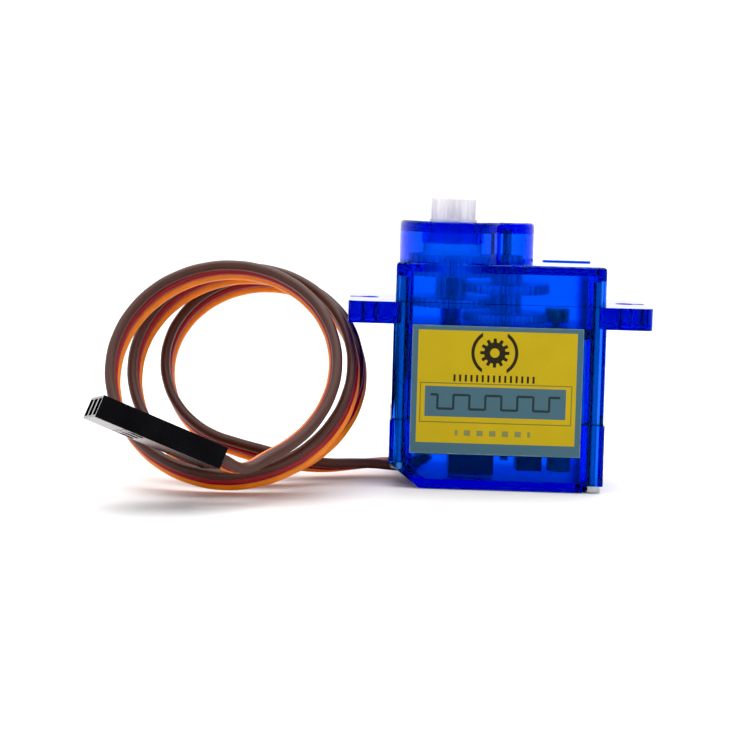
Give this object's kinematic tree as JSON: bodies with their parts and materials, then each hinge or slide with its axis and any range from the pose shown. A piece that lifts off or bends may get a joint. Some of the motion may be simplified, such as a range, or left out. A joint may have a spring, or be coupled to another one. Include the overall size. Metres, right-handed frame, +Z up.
{
  "type": "hobby servo motor",
  "caption": "Micro hobby servo with translucent case, mounting ears, splined output shaft, internal gear train and motor, and a coiled three-wire lead with plug.",
  "frame": {"origin": "centre of the case's bottom face", "axes": "+X along the case from the lead's end to the motor's end, +Y across it away from the label, +Z up along the output shaft"},
  "size_m": [0.0583, 0.0327, 0.031],
  "materials": {
    "case_blue": "glossy, translucent",
    "label_print": "printed film",
    "nylon_white": "satin",
    "steel": "plated",
    "can_steel": "satin",
    "magnet_grey": "sintered",
    "core_steel": "laminated",
    "brass": "bright",
    "copper": "enamelled",
    "cap_white": "moulded",
    "chip_black": "moulded",
    "board_green": "solder mask",
    "component_tan": "fired",
    "solder": "bright",
    "pot_green": "moulded",
    "track_carbon": "printed carbon",
    "lead_red_thin": "insulation",
    "lead_yellow_thin": "insulation",
    "wire_brown": "smooth insulation",
    "wire_red": "smooth insulation",
    "wire_orange": "smooth insulation",
    "plug_black": "moulded",
    "contact_gold": "plated"
  },
  "bodies": {
    "case": {"top_cover": "case_blue", "middle_case": "case_blue", "bottom_cover": "case_blue", "case_screws": "steel", "label": "label_print", "gear_axle": "steel", "motor_can": "can_steel", "motor_end_cap": "cap_white", "motor_magnets": "magnet_grey", "motor_bushing": "brass", "motor_brushes": "copper", "motor_terminals": "brass", "motor_leads": "lead_red_thin", "pot_housing": "pot_green", "pot_base": "chip_black", "pot_track": "track_carbon", "pot_terminals": "brass", "pot_leads": "lead_yellow_thin", "circuit_board": "board_green", "control_chip": "chip_black", "driver_chip": "chip_black", "board_components": "component_tan", "solder_joints": "solder", "wire_brown": "wire_brown", "wire_red": "wire_red", "wire_orange": "wire_orange", "plug_housing": "plug_black", "plug_contacts": "contact_gold"},
    "output": {"output_gear": "nylon_white", "pot_shaft": "steel", "pot_wiper": "brass"},
    "first_gear": {"gear_1": "nylon_white"},
    "second_gear": {"gear_2": "nylon_white"},
    "third_gear": {"gear_3": "nylon_white"},
    "rotor": {"motor_shaft": "steel", "motor_pinion": "brass", "armature_core": "core_steel", "armature_windings": "copper", "commutator": "copper"}
  },
  "joints": [
    {"name": "motor_turn", "type": "hinge", "parent": "case", "child": "rotor", "pos_m": [0.0066, 0, 0.0115], "axis": [0, 0, 1], "range_deg": [-9720, 9720]},
    {"name": "gear_1_turn", "type": "hinge", "parent": "case", "child": "first_gear", "pos_m": [0.0009, 0, 0.0185], "axis": [0, 0, 1], "range_deg": [-2430, 2430]},
    {"name": "gear_2_turn", "type": "hinge", "parent": "case", "child": "second_gear", "pos_m": [-0.0051, 0, 0.0205], "axis": [0, 0, 1], "range_deg": [-810, 810]},
    {"name": "gear_3_turn", "type": "hinge", "parent": "case", "child": "third_gear", "pos_m": [0.0009, 0, 0.0225], "axis": [0, 0, 1], "range_deg": [-270, 270]},
    {"name": "output_turn", "type": "hinge", "parent": "case", "child": "output", "pos_m": [-0.0051, 0, 0.026], "axis": [0, 0, 1], "range_deg": [-90, 90]}
  ],
  "couplings": [
    {"joint": "gear_1_turn", "follows": "motor_turn", "ratio": -0.25},
    {"joint": "gear_2_turn", "follows": "motor_turn", "ratio": 0.083333},
    {"joint": "gear_3_turn", "follows": "motor_turn", "ratio": -0.027778},
    {"joint": "output_turn", "follows": "motor_turn", "ratio": 0.0092593}
  ]
}
